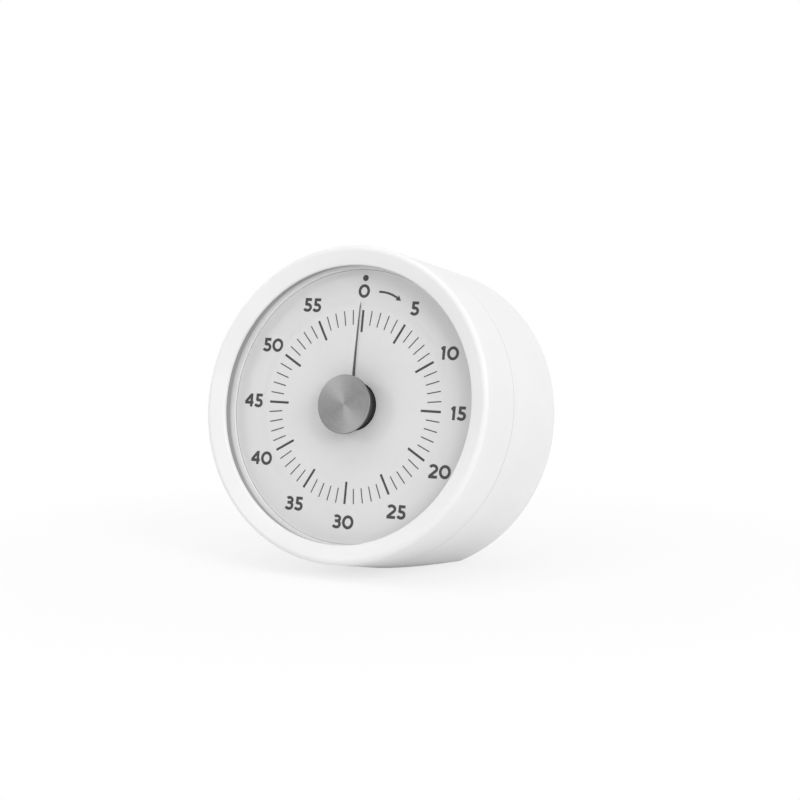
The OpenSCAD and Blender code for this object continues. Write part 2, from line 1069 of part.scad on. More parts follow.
front_shell();
rear_shell();
case_screws();
dial_plate();
dial_ring();
colour_disc();
disc_hub();
knob_cap();
knob_body();
front_plate();
back_plate();
pillars();
pillar_nuts();
movement_screws();
main_arbor();
retaining_clip();
clutch_washer();
main_wheel();
spring_collet();
mainspring();
spring_post();
second_wheel();
second_pinion();
third_wheel();
third_pinion();
escape_wheel();
escape_pinion();
pallet_lever();
balance_arbor();
balance_wheel();
trip_cam();
hammer_stud();
hammer_arm();
hammer_head();
bell();
bell_post();
bell_nut();
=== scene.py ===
"""Looks of a round sixty-minute visual timer that leans back on a flat foot.

Shapes are worked out in the dial's own frame, in millimetres: x to the right, y up the dial, z out of it.
Angles are degrees clockwise from the zero mark. place() takes points to the model's frame, in metres.
"""

import json

import bmesh
import bpy
import numpy as np
from mathutils import Matrix, Vector


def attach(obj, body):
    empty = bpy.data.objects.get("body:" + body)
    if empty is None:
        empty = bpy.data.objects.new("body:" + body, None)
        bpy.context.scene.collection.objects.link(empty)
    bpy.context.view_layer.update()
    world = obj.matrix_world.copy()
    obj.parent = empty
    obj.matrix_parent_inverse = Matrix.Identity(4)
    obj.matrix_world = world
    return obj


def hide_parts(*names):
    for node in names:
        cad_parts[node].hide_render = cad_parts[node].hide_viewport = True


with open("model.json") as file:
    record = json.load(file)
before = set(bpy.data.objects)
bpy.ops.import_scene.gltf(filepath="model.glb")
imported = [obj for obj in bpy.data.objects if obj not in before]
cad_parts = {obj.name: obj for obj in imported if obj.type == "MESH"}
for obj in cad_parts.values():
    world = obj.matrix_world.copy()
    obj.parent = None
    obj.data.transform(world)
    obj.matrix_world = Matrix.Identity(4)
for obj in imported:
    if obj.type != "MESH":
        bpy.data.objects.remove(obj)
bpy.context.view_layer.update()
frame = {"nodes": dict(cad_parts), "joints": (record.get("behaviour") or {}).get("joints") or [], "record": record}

MM = 0.001
KNOB_TURN = next(joint for joint in frame["joints"] if joint["name"] == "knob_turn")
DIAL_CENTRE = np.array(KNOB_TURN["pos_m"])
OUT = -np.array(KNOB_TURN["axis"])
RIGHT = np.array([1.0, 0.0, 0.0])
UP = np.cross(OUT, RIGHT)


# Places and sizes

def place(x, y, z):
    """Centre of the dial plus x to the right, y up the dial and z out of it."""
    x, y, z = np.broadcast_arrays(x, y, z)
    return DIAL_CENTRE + MM * (x[..., None] * RIGHT + y[..., None] * UP + z[..., None] * OUT)


def reach(node):
    """Largest radius of a node about the dial's axis, with its lowest and highest z."""
    mesh = frame["nodes"][node].data
    flat = np.empty(3 * len(mesh.vertices), np.float32)
    mesh.vertices.foreach_get("co", flat)
    away = (flat.reshape(-1, 3) - DIAL_CENTRE) / MM
    z = away @ OUT
    return np.hypot(away @ RIGHT, away @ UP).max(), z.min(), z.max()


CASE_R, POST_END, BEZEL_TOP = reach("front_shell")
DIAL_R, _, _ = reach("dial_plate")
RING_R, RING_FOOT, RING_TOP = reach("dial_ring")
DISC_R, _, _ = reach("colour_disc")
HUB_R, _, _ = reach("disc_hub")
CAP_R, PIN_END, CAP_TOP = reach("knob_cap")
KNOB_R, KNOB_BACK, KNOB_FRONT = reach("knob_body")

BEZEL_W = 4.9
BEZEL_SLOPE = 15.5
FRONT_ROUND = 1.2
LIP_ROUND = 0.5
LIP_LAND = 0.9
LIP_STEP = 0.3
LIP_UNDERCUT = 0.5
CASE_WALL = 2.4
CORE_WALL = 1.3
CORE_ROOF = 2.0
SEAM_Z = -9.2
SEAM_BEVEL = 0.15
SEAM_LINE_SINK = 0.02
LEDGE_R = 28.5
LEDGE_T = 1.6
POST_SINK = 0.3
SCREW_HOLE_R = 1.05
POST_TURNS = (0, 120, 240)
POST_APART = 60
CASE_POST_R = 2.6
CASE_POST_AT = 33.2
CASE_HOLE_DEEP = 8.0
FRAME_POST_R = 2.4
FRAME_POST_AT = 30.5
FRAME_POST_END = -3.6
FRAME_HOLE_DEEP = 2.4
SLOPE = np.radians(BEZEL_SLOPE)
EDGE_Z = BEZEL_TOP - FRONT_ROUND
LIP_R = CASE_R - BEZEL_W
LIP_Z = EDGE_Z + (FRONT_ROUND - (BEZEL_W - FRONT_ROUND) * np.sin(SLOPE)) / np.cos(SLOPE)
RECESS_R = LIP_R + LIP_UNDERCUT
RECESS_TOP = LIP_Z - LIP_LAND - LIP_STEP

DIAL_T = 0.25
HUB_ROOM = 0.3
DIAL_HOLE_R = HUB_R + HUB_ROOM
HELIX_R = 25.6
SLIT_R = 27.2
SLIT_OFFSET = 0.87
SLIT_BOW = 0.17
SLIT_W = 0.4
SLIT_NARROWS = 0.85
STEP_SINKS = 0.4
PITCH = 1.0
FILM_T = 0.2
FILM_ROOM = 0.05
FILM_IN = HUB_R + FILM_ROOM
FILM_LAP = 0.6
TAIL_LAP = 1.3
RING_W = 0.8
RING_EDGE = 0.75
RING_LAND = 0.15
SLEEVE_T = 0.2

CAP_T = 0.8
CAP_ROUND = 0.12
CAP_EDGE_PAINTED_SHADE = 0.5
CAP_BEVEL = 0.3
CAP_PIN_R = 2.4
PIN_PLAY = 0.02
KNOB_ROUND = 0.2
BORE_R = 2.02

ROUND_STEPS = 288
SMALL_STEPS = 48
DIAL_STEPS = 360
SHEET_CREASE = 60.0


# Meshes

def grid(rows, columns, closed_rows=False, closed_columns=False):
    """Four corners of each cell in a grid of points that is numbered row by row."""
    i = np.arange(rows if closed_rows else rows - 1)[:, None]
    j = np.arange(columns if closed_columns else columns - 1)[None, :]
    next_i = (i + 1) % rows
    next_j = (j + 1) % columns
    corners = [i * columns + j, next_i * columns + j, next_i * columns + next_j, i * columns + next_j]
    return np.stack(np.broadcast_arrays(*corners), -1).reshape(-1, 4)


def outward(points, faces):
    """Turns all faces over if the volume that they close in comes out negative."""
    a, b, c, d = (points[faces[:, k]] - points.mean(0) for k in range(4))
    volume = (np.cross(a, b) * c).sum() + (np.cross(a, c) * d).sum()
    return points, faces[:, ::-1] if volume < 0 else faces


def joined(parts):
    """Several sets of points and faces as one set."""
    starts = np.cumsum([0] + [len(points) for points, _ in parts[:-1]])
    faces = [one[1] + start for one, start in zip(parts, starts)]
    return np.concatenate([points for points, _ in parts]), np.concatenate(faces)


def make_piece(name, shape, finish, body, node=None, crease=35.0):
    """A mesh with its doubles merged, smooth but for edges sharper than the crease, riding on a body."""
    merge_within = 1e-6
    points, faces = shape
    mesh = bpy.data.meshes.new(name)
    mesh.from_pydata(points.tolist(), [], faces.tolist())
    work = bmesh.new()
    work.from_mesh(mesh)
    bmesh.ops.remove_doubles(work, verts=work.verts, dist=merge_within)
    work.to_mesh(mesh)
    work.free()
    mesh.shade_smooth()
    mesh.set_sharp_from_angle(angle=np.radians(crease))
    mesh.materials.append(finish)
    piece = bpy.data.objects.new(name, mesh)
    bpy.context.scene.collection.objects.link(piece)
    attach(piece, body)
    if node:
        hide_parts(node)
    return piece


def turned(profile, x=0.0, y=0.0, steps=ROUND_STEPS, closed=True):
    """A profile of (radius, z) turned once round an axis that stands on the dial at x, y."""
    r, z = np.asarray(profile).T
    turn = np.linspace(0, 2 * np.pi, steps, endpoint=False)[:, None]
    points = place(x + r * np.sin(turn), y + r * np.cos(turn), z)
    return outward(points.reshape(-1, 3), grid(steps, len(r), True, closed))


def arc(r, z, radius, start, end, steps=14):
    """Points on a circle in a profile, from one angle to another, anticlockwise from outwards."""
    a = np.radians(np.linspace(start, end, steps))
    return np.stack([r + radius * np.cos(a), z + radius * np.sin(a)], 1)


# Case

def front_section():
    """Points along the wall, the rounded edge, the sloping bezel, its lip, the ledge and the core."""
    core_r = RECESS_R + CORE_WALL
    inner_r = CASE_R - CASE_WALL
    lip_middle = LIP_Z + LIP_ROUND * (np.tan(SLOPE) - 1 / np.cos(SLOPE))
    return np.concatenate([
        [[CASE_R - SEAM_BEVEL, SEAM_Z], [CASE_R, SEAM_Z + SEAM_BEVEL]],
        arc(CASE_R - FRONT_ROUND, EDGE_Z, FRONT_ROUND, 0, 90 + BEZEL_SLOPE),
        arc(LIP_R + LIP_ROUND, lip_middle, LIP_ROUND, 90 + BEZEL_SLOPE, 180),
        [[LIP_R, LIP_Z - LIP_LAND], [RECESS_R, RECESS_TOP]],
        [[RECESS_R, -DIAL_T], [LEDGE_R, -DIAL_T]],
        [[LEDGE_R, -DIAL_T - LEDGE_T], [core_r, -DIAL_T - LEDGE_T]],
        [[core_r, BEZEL_TOP - CORE_ROOF], [inner_r, BEZEL_TOP - CORE_ROOF]],
        [[inner_r, SEAM_Z]],
    ])


def screw_post(at, angle, radius, end, deep):
    """A round post behind the dial's ledge with a screw hole from its end."""
    top = POST_SINK - DIAL_T - LEDGE_T
    turn = np.radians(angle)
    solid = [[0, top], [radius, top], [radius, end]]
    hole = [[SCREW_HOLE_R, end], [SCREW_HOLE_R, end + deep], [0, end + deep]]
    return turned(solid + hole, at * np.sin(turn), at * np.cos(turn), SMALL_STEPS, False)


def make_front_shell(finish):
    """The front half of the case and the six posts that take its screws."""
    parts = [turned(front_section())]
    for angle in POST_TURNS:
        parts.append(screw_post(CASE_POST_AT, angle, CASE_POST_R, POST_END, CASE_HOLE_DEEP))
        between = angle + POST_APART
        parts.append(screw_post(FRAME_POST_AT, between, FRAME_POST_R, FRAME_POST_END, FRAME_HOLE_DEEP))
    make_piece("bezel_shell", joined(parts), finish, "case", "front_shell")


def make_seam_line(finish):
    """A fine grey line that nearly fills the groove where the two halves of the case meet: painted shade in the
    groove.
    """
    outer = CASE_R - SEAM_LINE_SINK
    half = SEAM_BEVEL - SEAM_LINE_SINK
    section = [[CASE_R - SEAM_BEVEL, SEAM_Z], [outer, SEAM_Z - half], [outer, SEAM_Z + half]]
    make_piece("seam_shade_line", turned(section), finish, "case")


def make_dial_ring(finish):
    """A ring whose top is a quarter of an ellipse, from its upright outer edge down to its inner edge."""
    inner = RING_R - RING_W
    level = inner + RING_LAND
    turn = np.radians(np.linspace(0, 90, 16))
    cove_r = level + (RING_R - level) * np.cos(turn)
    cove_z = RING_TOP - (RING_TOP - RING_EDGE) * np.sin(turn)
    cove = np.stack([cove_r, cove_z], 1)
    section = np.concatenate([[[inner, RING_FOOT], [RING_R, RING_FOOT]], cove, [[inner, RING_EDGE]]])
    make_piece("clamp_ring", turned(section), finish, "case", "dial_ring")


def make_sleeve(finish):
    """A thin grey sleeve round the recess, from the ring that it holds down up to the bezel's lip; its dark grey
    is painted shade for the shadowed wall under the lip.
    """
    inner = RECESS_R - SLEEVE_T
    section = [[inner, RING_TOP], [RECESS_R, RING_TOP], [RECESS_R, RECESS_TOP], [inner, RECESS_TOP]]
    make_piece("recess_shade_sleeve", turned(section), finish, "case")


# Dial and disc

def slit_run(r):
    """0 at the dial's hole, rising evenly to 1 at the disc's edge."""
    return np.clip((r - DIAL_HOLE_R) / (HELIX_R - DIAL_HOLE_R), 0, 1)


def slit_open(r):
    """1 inside the disc's edge, falling evenly to 0 at the end of the slit."""
    return np.clip((SLIT_R - r) / (SLIT_R - HELIX_R), 0, 1)


def slit_angle(r, side):
    """Angle at which the slit's edge lies: side is 1 on the right, -1 on the left and 0 in the middle.

    The slit stands an offset left of the zero line, bows a little and narrows towards its outer end.
    """
    width = SLIT_W * (1 - SLIT_NARROWS * slit_run(r)) * slit_open(r)
    bow_share = 1 - ((r - SLIT_R / 2) / (SLIT_R / 2)) ** 2
    middle = SLIT_OFFSET + SLIT_BOW * np.clip(bow_share, 0, 1)
    return np.degrees(np.arcsin((side * width / 2 - middle) / r))


def dial_step(r):
    """Rise of the slit's left edge over its right edge: a pitch at the hole, less further out."""
    return PITCH * (1 - STEP_SINKS * slit_run(r)) * slit_open(r)


def dial_height(x, y):
    """One step up in one turn clockwise from the slit."""
    r = np.hypot(x, y)
    start = slit_angle(r, 0)
    a = start + (np.degrees(np.arctan2(x, y)) - start) % 360
    return dial_step(r) * (a / 360 - 0.5)


def film_edge(r, lap):
    """Angle of a straight edge of the film, a lap left of the slit."""
    return np.degrees(np.arcsin(-(SLIT_OFFSET + lap) / r))


def film_height(a):
    """Top of the film: one pitch up in one turn clockwise, midway between the slit's edges."""
    return PITCH * a / 360 - DIAL_T / 2 + FILM_T / 2


def spread(*stops):
    """Radii from stop to stop, about half a millimetre apart or closer."""
    per_mm = 2
    least = 4
    runs = []
    for low, high in zip(stops, stops[1:]):
        runs.append(np.linspace(low, high, int(per_mm * (high - low)) + least)[:-1])
    return np.concatenate(runs + [stops[-1:]])


def swept_sheet(x, y, top, thick, cut):
    """A sheet over a grid of points, with its underside below it, closed along its rims and cut ends."""
    count, steps = x.shape
    upper = place(x, y, top)
    under = place(x, y, top - thick)
    loop = np.concatenate([upper, under[::-1]]).reshape(-1, 3)
    faces = grid(2 * count, steps, True, False)
    i = np.flatnonzero(cut[:-1] & cut[1:])
    back = 2 * count - 1 - i
    tail = np.stack([i, back, back - 1, i + 1], 1) * steps
    lead = tail[:, ::-1] + steps - 1
    return outward(loop, np.concatenate([faces, tail, lead]))


def make_dial(finish):
    """The dial runs once round from the right edge of the slit to its left edge."""
    r = spread(DIAL_HOLE_R, HELIX_R, SLIT_R, DIAL_R)[:, None]
    first = slit_angle(r, 1)
    last = 360 + slit_angle(r, -1)
    a = first + (last - first) * np.linspace(0, 1, DIAL_STEPS + 1)
    turn = np.radians(a)
    top = dial_step(r) * (a / 360 - 0.5)
    shape = swept_sheet(r * np.sin(turn), r * np.cos(turn), top, DIAL_T, r[:, 0] <= SLIT_R)
    make_piece("dial_face", shape, finish, "case", "dial_plate", SHEET_CREASE)


def make_disc(finish):
    """One turn of a helicoid from just left of the slit, its tail lapping under its front edge."""
    r = spread(FILM_IN, DISC_R)[:, None]
    lead = film_edge(r, FILM_LAP)
    tail = film_edge(r, FILM_LAP + TAIL_LAP) - 360
    a = tail + (lead - tail) * np.linspace(0, 1, DIAL_STEPS + 1)
    turn = np.radians(a)
    shape = swept_sheet(r * np.sin(turn), r * np.cos(turn), film_height(a), FILM_T, np.ones(len(r), bool))
    make_piece("time_disc", shape, finish, "disc", "colour_disc", SHEET_CREASE)


# Print and painted shade

INK_T = 0.03
INK_SINK = 0.02
HAIR = 0.003
MINUTE = 6
NUMBER_R = 29.3
NUMBER_STROKE = 0.74
NUMBER_GAP = 0.4
PRINT_DROP = 0.12
MARK_R = 24.5
LONG_MARK = 5.57
LONG_MARK_W = 0.6
SHORT_MARK = 3.8
SHORT_MARK_W = 0.27
DOT_AT = 32.5
DOT_R = 0.8
ARROW_MIDDLE = (4.5, 19.4)
ARROW_BOW = 9.7
ARROW_START = 91.8
ARROW_END = 58.5
ARROW_W = 0.54
ARROW_HEAD = (9.5, 27.75)
ARROW_TIP = (10.6, 27.0)
ARROW_HEAD_W = 1.53
ARROW_TIP_W = 0.02
EDGE_LINE_W = 0.13
STRIP_W = 2.4
STRIP_INSET = 0.04
BAND_W = 0.7
BACKING_W = 2.0
BACKING_CLEAR = 0.1
BACKING_PAST = 0.8


def bow(x, y, wide, high, start, end, steps=25):
    """Part of an ellipse about x, y, from one angle to another, anticlockwise from the right."""
    a = np.radians(np.linspace(start, end, steps))
    return np.stack([x + wide * np.cos(a), y + high * np.sin(a)], 1)


def straight(x0, y0, x1, y1, steps=9):
    """Even steps from one point to the other."""
    return np.linspace([x0, y0], [x1, y1], steps)


def ink_line(path, width, lift=0.0, height=dial_height):
    """A band of ink on the sheet: each point of a path spreads half the width to either side."""
    closed = np.allclose(path[0], path[-1])
    if closed:
        path = path[:-1]
        ahead = np.roll(path, -1, 0) - np.roll(path, 1, 0)
    else:
        ahead = np.gradient(path, axis=0)
    ahead = ahead / np.linalg.norm(ahead, axis=1)[:, None]
    half = np.broadcast_to(width, len(path))[:, None] / 2
    across = half * np.array([-1, -1, 1, 1])
    x = path[:, :1] - ahead[:, 1:] * across
    y = path[:, 1:] + ahead[:, :1] * across
    z = height(x, y) + np.array([-INK_SINK, INK_T + lift, INK_T + lift, -INK_SINK])
    faces = grid(len(path), 4, closed, True)
    if not closed:
        first = np.arange(4)[None, ::-1]
        faces = np.concatenate([faces, first, first[:, ::-1] + 4 * (len(path) - 1)])
    return outward(place(x, y, z).reshape(-1, 3), faces)


# Each figure: how far it reaches left and right of its middle, and its strokes
FIGURES = {
    "0": (1.6, 1.6, [bow(0, 0, 1.25, 1.37, 0, 360, 49)]),
    "1": (0.75, 0.6, [straight(0.05, 1.7, 0.05, -1.7), straight(0.12, 1.42, -0.68, 0.93)]),
    "2": (1.25, 1.22, [
        np.concatenate([bow(-0.05, 0.62, 1.0, 0.79, 152, -45), straight(0.62, 0.03, -0.92, -1.25)]),
        straight(-1.22, -1.41, 1.18, -1.41),
    ]),
    "3": (1.18, 1.16, [
        bow(-0.02, 0.78, 0.82, 0.63, 142, -90),
        straight(-0.58, 0.15, 0.05, 0.15),
        np.concatenate([
            bow(-0.02, -0.63, 0.88, 0.78, 90, -85),
            bow(-0.02, -0.63, 1.1, 0.78, -90, -152, 12),
        ]),
    ]),
    "4": (1.3, 1.15, [
        straight(0.54, 1.7, 0.54, -1.7),
        straight(0.5, 1.48, -1.12, -0.5),
        straight(-1.34, -0.62, 1.15, -0.62),
    ]),
    "5": (1.15, 1.15, [
        straight(-0.7, 1.41, 1.05, 1.41),
        straight(-0.42, 1.7, -0.46, -0.1),
        np.concatenate([
            bow(0.02, -0.63, 0.86, 0.78, 128, -85),
            bow(0.02, -0.63, 1.12, 0.78, -90, -152, 12),
        ]),
    ]),
}


# How far each number stands right of and above its even place
NUDGES = {
    0: (-0.1, 0.0), 5: (0.05, -0.05), 10: (0.2, -0.05), 15: (0.1, -0.1),
    20: (0.4, 0.0), 25: (0.15, 0.0), 30: (0.1, 0.3), 35: (0.05, -0.05),
    40: (-0.05, 0.1), 45: (-0.15, 0.1), 50: (0.1, -0.05), 55: (-0.15, -0.1),
}


def number_strokes(number):
    """The figures of a number side by side, about the number's own place on the dial."""
    figures = [FIGURES[figure] for figure in str(number)]
    width = sum(left + right for left, right, _ in figures) + NUMBER_GAP * (len(figures) - 1)
    turn = np.radians(MINUTE * number)
    aside, above = NUDGES[number]
    x = NUMBER_R * np.sin(turn) - width / 2 + aside
    y = NUMBER_R * np.cos(turn) - PRINT_DROP + above
    strokes = []
    for left, right, paths in figures:
        strokes += [path + [x + left, y] for path in paths]
        x += left + right + NUMBER_GAP
    return strokes


def make_numbers(finish):
    """Twelve numbers of plain strokes; each stroke lies a hair above the one before, where they cross."""
    parts = []
    for number in range(0, 60, 5):
        strokes = number_strokes(number)
        parts += [ink_line(path, NUMBER_STROKE, HAIR * k) for k, path in enumerate(strokes)]
    make_piece("dial_numbers", joined(parts), finish, "case")


def mark(minute):
    """A radial bar, longer and wider at every fifth minute."""
    fifth = minute % 5 == 0
    length = LONG_MARK if fifth else SHORT_MARK
    turn = np.radians(MINUTE * minute)
    way = np.array([np.sin(turn), np.cos(turn)])
    low = [0, -PRINT_DROP]
    path = straight(*(way * (MARK_R - length) + low), *(way * MARK_R + low), 12)
    return ink_line(path, LONG_MARK_W if fifth else SHORT_MARK_W)


def make_marks(finish):
    """Sixty bars, one for each minute."""
    parts = [mark(minute) for minute in range(60)]
    make_piece("minute_marks", joined(parts), finish, "case")


def make_dot(finish):
    """A thin round spot above the zero."""
    section = [[0, -INK_SINK], [DOT_R, -INK_SINK], [DOT_R, INK_T], [0, INK_T]]
    shape = turned(section, 0, DOT_AT, SMALL_STEPS, False)
    make_piece("zero_dot", shape, finish, "case")


def make_edge_line(finish):
    """A fine dark line round the dial at the foot of the ring: painted shade of the gap where the ring meets the
    dial.
    """
    outer = RING_R - RING_W
    inner = outer - EDGE_LINE_W
    section = [[inner, -INK_SINK], [outer, -INK_SINK], [outer, INK_T], [inner, INK_T]]
    make_piece("dial_edge_shade_line", turned(section), finish, "case")


def tail_height(x, y):
    """Top of the film near its trailing edge, one whole turn below its front edge."""
    return film_height(np.degrees(np.arctan2(x, y)) - 360)


def make_edge_strip(finish):
    """A pale strip along the film's trailing edge, which is what the slit shows at zero; its grey darkens towards
    the hub as painted shade of the slit's deeper step there.
    """
    middle = STRIP_W / 2 - SLIT_OFFSET - FILM_LAP - TAIL_LAP + STRIP_INSET
    radii = np.array([FILM_IN + STRIP_INSET, DISC_R - STRIP_INSET])
    ends = np.sqrt(radii ** 2 - (STRIP_W / 2 - middle) ** 2)
    path = straight(middle, ends[0], middle, ends[1], 40)
    shape = ink_line(path, STRIP_W, 0.0, tail_height)
    make_piece("film_edge_strip", shape, finish, "disc")


def make_hub_band(finish):
    """A dark band on the film round its hub, wound like the film from its tail to its front edge: painted shade in
    the gap round the hub.
    """
    r = np.linspace(FILM_IN + STRIP_INSET, FILM_IN + BAND_W, 4)[:, None]
    tail = film_edge(r, FILM_LAP - STRIP_W) - 360
    lead = film_edge(r, FILM_LAP + STRIP_INSET)
    a = tail + (lead - tail) * np.linspace(0, 1, DIAL_STEPS + 1)
    turn = np.radians(a)
    top = film_height(a) + INK_T
    thick = INK_T + INK_SINK
    shape = swept_sheet(r * np.sin(turn), r * np.cos(turn), top, thick, np.ones(len(r), bool))
    make_piece("film_hub_shade_band", shape, finish, "disc", crease=SHEET_CREASE)


def backing_height(x, y):
    """Just under the dial's lower side at the slit."""
    return -DIAL_T - dial_step(np.hypot(x, y)) / 2 - INK_T


def make_slit_backing(finish):
    """A tab under the last of the slit, beyond the film's rim."""
    path = straight(-SLIT_OFFSET, DISC_R + BACKING_CLEAR, -SLIT_OFFSET, SLIT_R + BACKING_PAST, 20)
    shape = ink_line(path, BACKING_W, 0.0, backing_height)
    make_piece("slit_backing", shape, finish, "case")


def make_arrow(finish):
    """A bowed line and a head that narrows evenly to its tip."""
    line = bow(*ARROW_MIDDLE, ARROW_BOW, ARROW_BOW, ARROW_START, ARROW_END)
    head = straight(*ARROW_HEAD, *ARROW_TIP, 10)
    head_width = np.linspace(ARROW_HEAD_W, ARROW_TIP_W, len(head))
    parts = [ink_line(line, ARROW_W), ink_line(head, head_width, HAIR)]
    make_piece("turn_arrow", joined(parts), finish, "case")


# Knob

def make_cap(finish):
    """A flat metal disc with a softened front edge, a bevelled back edge and a short pin at its back."""
    back = CAP_TOP - CAP_T
    edge = CAP_R - CAP_ROUND
    face = np.linspace(edge, 0, 40)[1:]
    section = np.concatenate([
        [[0, PIN_END], [CAP_PIN_R, PIN_END], [CAP_PIN_R, back]],
        [[CAP_R - CAP_BEVEL, back], [CAP_R, back + CAP_BEVEL]],
        arc(edge, CAP_TOP - CAP_ROUND, CAP_ROUND, 0, 90, 8),
        np.stack([face, np.full_like(face, CAP_TOP)], 1),
    ])
    make_piece("brushed_cap", turned(section, closed=False), finish, "knob", "knob_cap")


def make_knob(finish):
    """A short dark drum with a softened back edge, bored for its arbor and for the cap's pin."""
    seat = PIN_END - PIN_PLAY
    pin_hole = CAP_PIN_R + PIN_PLAY
    section = np.concatenate([
        [[BORE_R, KNOB_BACK]],
        arc(KNOB_R - KNOB_ROUND, KNOB_BACK + KNOB_ROUND, KNOB_ROUND, -90, 0, 6),
        [[KNOB_R, KNOB_FRONT], [pin_hole, KNOB_FRONT], [pin_hole, seat], [BORE_R, seat]],
    ])
    make_piece("knob_drum", turned(section), finish, "knob", "knob_body")


# Finishes

NOISE_LOW = 0.3
NOISE_HIGH = 0.7
CLOUD_SIZE = 18.0
BRUSH_LINE = 0.1
BRUSH_ROUNDS = 2.2
BRUSH_SPREAD = 0.84


def new_finish(name, roughness, metallic=0.0):
    """A material with a principled shader; what is the same all over stands on its own sockets."""
    finish = bpy.data.materials.new(name)
    finish.use_nodes = True
    shader = finish.node_tree.nodes["Principled BSDF"]
    shader.inputs["Roughness"].default_value = roughness
    shader.inputs["Metallic"].default_value = metallic
    return finish.node_tree, shader, finish


def add(tree, kind, inputs=None, **settings):
    """A node with its settings, its plain inputs and its links."""
    node = tree.nodes.new(kind)
    for key, value in settings.items():
        setattr(node, key, value)
    for key, value in (inputs or {}).items():
        if isinstance(value, bpy.types.NodeSocket):
            tree.links.new(value, node.inputs[key])
        else:
            node.inputs[key].default_value = value
    return node


def counted_from(tree, point):
    """Object coordinates, counted from a point."""
    where = add(tree, "ShaderNodeTexCoord").outputs["Object"]
    return add(tree, "ShaderNodeVectorMath", {0: where, 1: point}, operation="SUBTRACT").outputs["Vector"]


def vector_length(tree, vector):
    """How long a vector is."""
    return add(tree, "ShaderNodeVectorMath", {0: vector}, operation="LENGTH").outputs["Value"]


def scaled(tree, vector, amount):
    """A vector times a number."""
    inputs = {0: vector, "Scale": amount}
    return add(tree, "ShaderNodeVectorMath", inputs, operation="SCALE").outputs["Vector"]


def ranged(tree, amount, start, end, low, high, way="LINEAR"):
    """Runs from low to high while an amount runs from start to end."""
    inputs = {"Value": amount, "From Min": start, "From Max": end, "To Min": low, "To Max": high}
    return add(tree, "ShaderNodeMapRange", inputs, interpolation_type=way).outputs["Result"]


def spot_noise(tree, size, detail=2.0, vector=None):
    """Cloudy noise whose spots are about size millimetres across."""
    where = vector or add(tree, "ShaderNodeTexCoord").outputs["Object"]
    inputs = {"Vector": where, "Scale": 1 / (size * MM), "Detail": detail}
    return add(tree, "ShaderNodeTexNoise", inputs).outputs["Fac"]


def tint(tree, shader, amount, dark, light):
    """Base colour that runs from dark to light over the middle of the noise."""
    ramp = add(tree, "ShaderNodeValToRGB", {"Fac": amount})
    low, high = ramp.color_ramp.elements
    low.position = NOISE_LOW
    high.position = NOISE_HIGH
    low.color = (*dark, 1.0)
    high.color = (*light, 1.0)
    tree.links.new(ramp.outputs["Color"], shader.inputs["Base Color"])
    return ramp.outputs["Color"]


def sheen_range(tree, shader, amount, low, high):
    """Roughness that runs from low to high over the middle of the noise."""
    roughness = ranged(tree, amount, NOISE_LOW, NOISE_HIGH, low, high)
    tree.links.new(roughness, shader.inputs["Roughness"])


def relief(tree, shader, amount, depth, strength=1.0):
    """Small relief, depth millimetres deep."""
    bump = add(tree, "ShaderNodeBump", {"Height": amount, "Distance": depth * MM, "Strength": strength})
    tree.links.new(bump.outputs["Normal"], shader.inputs["Normal"])


def grey(level):
    """The same level of red, green and blue."""
    return (level, level, level)


def moulded(name, dark, light, low, high, grain, depth, shine=0.5):
    """Moulded plastic: faint clouds in colour and gloss, and the fine grain of the mould."""
    tree, shader, finish = new_finish(name, (low + high) / 2)
    shader.inputs["Specular IOR Level"].default_value = shine
    clouds = spot_noise(tree, CLOUD_SIZE, 3.0)
    tint(tree, shader, clouds, dark, light)
    sheen_range(tree, shader, clouds, low, high)
    relief(tree, shader, spot_noise(tree, grain, 2.0), depth)
    return finish


def graded(name, inner_r, outer_r, inner, outer):
    """Moulded plastic whose grey runs evenly from one radius about the dial's centre to another: painted shade,
    darker where the surface lies deeper in shade.
    """
    tree, shader, finish = new_finish(name, 0.5)
    radius = vector_length(tree, counted_from(tree, DIAL_CENTRE))
    share = ranged(tree, radius, inner_r * MM, outer_r * MM, NOISE_LOW, NOISE_HIGH)
    tint(tree, shader, share, grey(inner), grey(outer))
    sheen_range(tree, shader, spot_noise(tree, 6.0, 3.0), 0.45, 0.55)
    relief(tree, shader, spot_noise(tree, 0.2, 2.0), 0.003)
    return finish


def print_ink():
    """Screen-printed ink: dark, with a fine mottle and a dry surface."""
    tree, shader, finish = new_finish("dial_ink_and_hub_shade", 0.6)
    mottle = spot_noise(tree, 0.25, 3.0)
    tint(tree, shader, mottle, grey(0.038), grey(0.066))
    relief(tree, shader, mottle, 0.004)
    return finish


